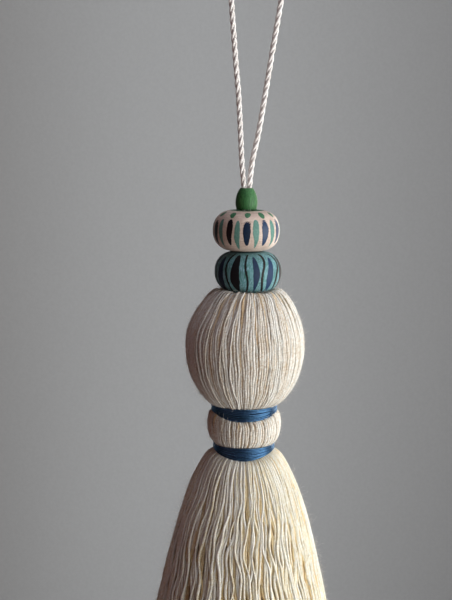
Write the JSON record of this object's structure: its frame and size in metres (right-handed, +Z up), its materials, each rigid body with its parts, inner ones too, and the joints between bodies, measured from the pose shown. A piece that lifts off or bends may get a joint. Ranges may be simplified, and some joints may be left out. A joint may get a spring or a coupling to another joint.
{
  "type": "beaded tassel",
  "caption": "Cotton yarn tassel with a ball head, a bound neck and a full skirt, topped by painted wooden beads and hung from a twisted cord loop.",
  "frame": {"origin": "where a hook carries the tassel: the underside of the cord at the top of its loop", "axes": "+Z up, along the hanging tassel; the loop lies in the XZ plane and the tassel's own axis is 3.3 mm towards -X, because the loop leans to +X; -Y is the side the loop is seen face on from"},
  "size_m": [0.0807, 0.0812, 0.2953],
  "materials": {
    "cotton_yarn": "natural unbleached cotton, soft single yarns, matt with a little fuzz",
    "cotton_cord": "bleached cotton, three strands twisted into a 2 mm cord, matt",
    "blue_thread": "mercerised navy blue cotton thread, with a soft sheen",
    "green_painted_wood": "turned beech, brushed with matt green paint",
    "bare_wood": "turned beech left bare, with painted strokes and dots round it",
    "teal_painted_wood": "turned beech, painted matt teal, with dark blue strokes and thin lines round it"
  },
  "bodies": {
    "root": {"hanging_cord": "cotton_cord", "cord_stem": "cotton_cord", "cap_bead": "green_painted_wood", "painted_bead": "bare_wood", "striped_bead": "teal_painted_wood", "yarn_ball": "cotton_yarn", "upper_binding": "blue_thread", "yarn_collar": "cotton_yarn", "lower_binding": "blue_thread", "skirt": "cotton_yarn"}
  },
  "joints": []
}
